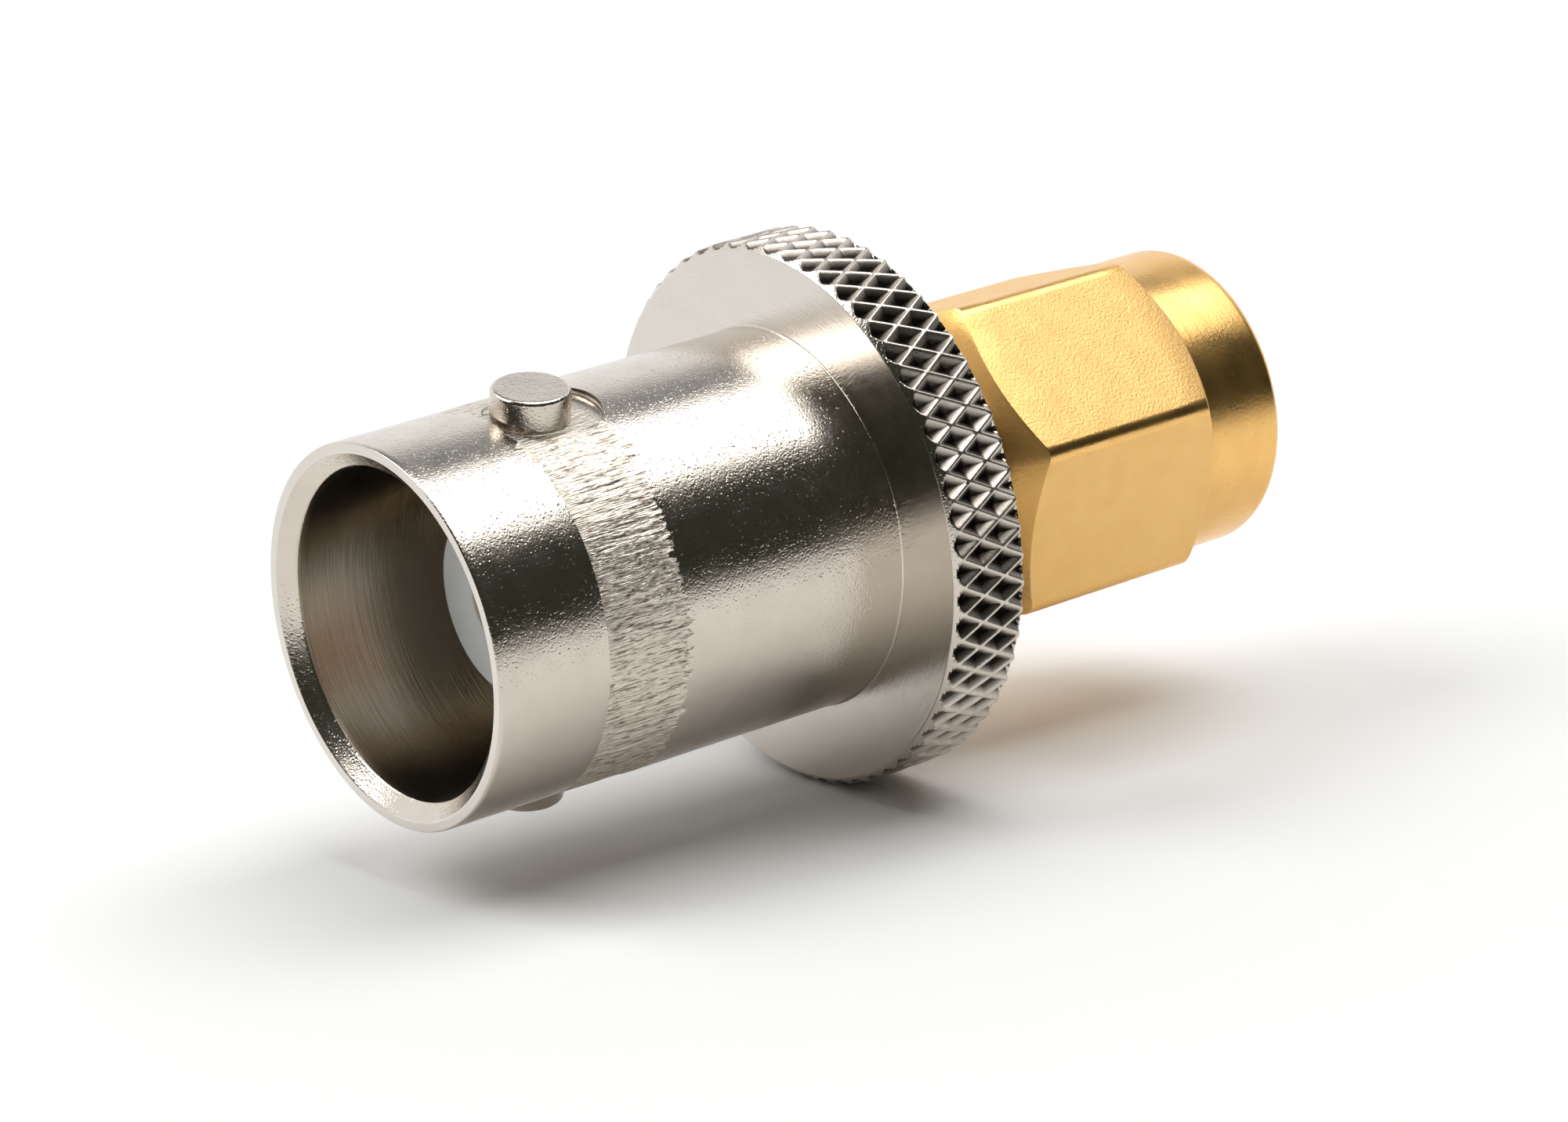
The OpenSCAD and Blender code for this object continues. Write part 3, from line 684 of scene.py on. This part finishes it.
# Floor: white paper; the part balances on its flange, rolled a little to its side, with the mouth clear
# Half its side and the two ends of its fade are in metres
floorSpec = {"colour": "#f4f4f3", "half": 0.07, "fadeFrom": 0.03, "fadeTo": 0.055, "rollDeg": 11.5,
             "tiltDeg": 2.5, "gapMm": 0.01}
roll, tilt = math.radians(floorSpec["rollDeg"]), math.radians(floorSpec["tiltDeg"])
down = Vector((math.sin(roll), math.cos(roll), 0))
floorUp = Vector((0, 0, math.sin(tilt))) - down * math.cos(tilt)
floorAlong = Vector((0, 0, math.cos(tilt))) + down * math.sin(tilt)
floorSide = floorAlong.cross(floorUp)
touch = (down * (knurl["crestR"] + floorSpec["gapMm"]) + Vector((0, 0, knurl["frontZ"]))) * mm
corners = [touch + floorSide * (floorSpec["half"] * i) + floorAlong * (floorSpec["half"] * j)
           for i, j in ((-1, -1), (-1, 1), (1, 1), (1, -1))]
floorMesh = bpy.data.meshes.new("floor")
floorMesh.from_pydata([c[:] for c in corners], [], [(0, 1, 2, 3)])
if floorMesh.polygons[0].normal.dot(floorUp) < 0:
    floorMesh.flip_normals()
floor = bpy.data.objects.new("floor", floorMesh)
bpy.context.scene.collection.objects.link(floor)


def whitePaper():
    # matt paper that keeps the shadow, fades to plain white far from the part and is clear from below
    material = bpy.data.materials.new("whitePaper")
    material.use_nodes = True
    tree = material.node_tree
    tree.nodes.clear()
    place = addNode(tree, "ShaderNodeTexCoord").outputs["Object"]
    away = addNode(tree, "ShaderNodeVectorMath", {1: touch}, {0: place}, operation="DISTANCE")
    far = addNode(tree, "ShaderNodeMapRange",
                  {"From Min": floorSpec["fadeFrom"], "From Max": floorSpec["fadeTo"]},
                  {"Value": away.outputs["Value"]}, interpolation_type="SMOOTHSTEP")
    paper = addNode(tree, "ShaderNodeBsdfDiffuse", {"Color": linear(floorSpec["colour"])})
    white = addNode(tree, "ShaderNodeEmission", {"Color": (1, 1, 1, 1), "Strength": 1})
    ray = addNode(tree, "ShaderNodeLightPath")
    seen = ray.outputs["Is Camera Ray"]
    for kind in ("Is Glossy Ray", "Is Transmission Ray"):
        seen = addNode(tree, "ShaderNodeMath", links={0: seen, 1: ray.outputs[kind]},
                       operation="MAXIMUM").outputs[0]
    fade = addNode(tree, "ShaderNodeMath", links={0: seen, 1: far.outputs[0]}, operation="MULTIPLY")
    top = addNode(tree, "ShaderNodeMixShader",
                  links={0: fade.outputs[0], 1: paper.outputs[0], 2: white.outputs[0]})
    clear = addNode(tree, "ShaderNodeBsdfTransparent")
    below = addNode(tree, "ShaderNodeNewGeometry").outputs["Backfacing"]
    both = addNode(tree, "ShaderNodeMixShader", links={0: below, 1: top.outputs[0], 2: clear.outputs[0]})
    addNode(tree, "ShaderNodeOutputMaterial", links={"Surface": both.outputs[0]})
    return material


floorMesh.materials.append(whitePaper())
print("camera and floor placed")

# Studio: two soft lamps overhead, a bright wall behind and to the left, a dark room on the camera's side
# Lamps hang level with the floor, with their sides in shares of their height; wall edges are sines
# The height is in metres, over a centre in mm
studio = {"lampHeight": 0.34, "centre": (0, 0, 12.7),
          "lamps": {"nutLamp": {"across": (-0.21, 0.6), "along": (-0.22, 0.86), "glow": 3.4},
                    "mouthLamp": {"across": (-0.95, -0.2), "along": (-1.3, -0.3), "glow": 4.7}},
          "ceiling": "#84888b", "wall": "#fdfeff", "room": "#2f3128", "wallTop": (0.56, 0.7),
          "wallSideDeg": 14, "wallEdge": (0.02, 0.5), "glow": 1.08}
centre, height = Vector(studio["centre"]) * mm, studio["lampHeight"]
for lampName, spec in studio["lamps"].items():
    (left, right), (near, far) = spec["across"], spec["along"]
    lampData = bpy.data.lights.new(lampName, "AREA")
    lampData.shape = "RECTANGLE"
    lampData.size, lampData.size_y = (right - left) * height, (far - near) * height
    lampData.energy = spec["glow"] * math.pi * lampData.size * lampData.size_y
    lamp = bpy.data.objects.new(lampName, lampData)
    bpy.context.scene.collection.objects.link(lamp)
    reach = floorUp + floorSide * ((left + right) / 2) + floorAlong * ((near + far) / 2)
    lampAxes = Matrix((floorSide, floorAlong, floorUp)).transposed().to_4x4()
    lamp.matrix_world = Matrix.Translation(centre + reach * height) @ lampAxes
    lamp.visible_camera = False

world = bpy.data.worlds.new("studio")
world.use_nodes = True
bpy.context.scene.world = world
room = world.node_tree
room.nodes.clear()
ahead = Vector(view["ahead"])
level = (ahead - floorUp * ahead.dot(floorUp)).normalized()
wallTurn = math.radians(studio["wallSideDeg"])
toWall = level * math.cos(wallTurn) - level.cross(floorUp) * math.sin(wallTurn)
direction = addNode(room, "ShaderNodeTexCoord").outputs["Generated"]
shares = {}
for edge, axis in (("wallTop", floorUp), ("wallEdge", toWall)):
    low, high = studio[edge]
    facing = addNode(room, "ShaderNodeVectorMath", {1: axis}, {0: direction}, operation="DOT_PRODUCT")
    shares[edge] = addNode(room, "ShaderNodeMapRange", {"From Min": low, "From Max": high},
                           {"Value": facing.outputs["Value"]}, interpolation_type="SMOOTHSTEP").outputs[0]
brightSide = addNode(room, "ShaderNodeMix", {6: linear(studio["wall"]), 7: linear(studio["ceiling"])},
                     {0: shares["wallTop"]}, data_type="RGBA")
allRound = addNode(room, "ShaderNodeMix", {6: linear(studio["room"])},
                   {0: shares["wallEdge"], 7: brightSide.outputs[2]}, data_type="RGBA")
roomLight = addNode(room, "ShaderNodeBackground", {"Strength": studio["glow"]},
                    {"Color": allRound.outputs[2]})
# the camera sees plain white, while the metal mirrors the wall and the dark room
white = addNode(room, "ShaderNodeBackground", {"Color": (1, 1, 1, 1), "Strength": 1})
ray = addNode(room, "ShaderNodeLightPath")
shown = addNode(room, "ShaderNodeMixShader",
                links={0: ray.outputs["Is Camera Ray"], 1: roomLight.outputs[0], 2: white.outputs[0]})
addNode(room, "ShaderNodeOutputWorld", links={"Surface": shown.outputs[0]})
bpy.context.scene.view_settings.view_transform = "Standard"
print("studio set up")
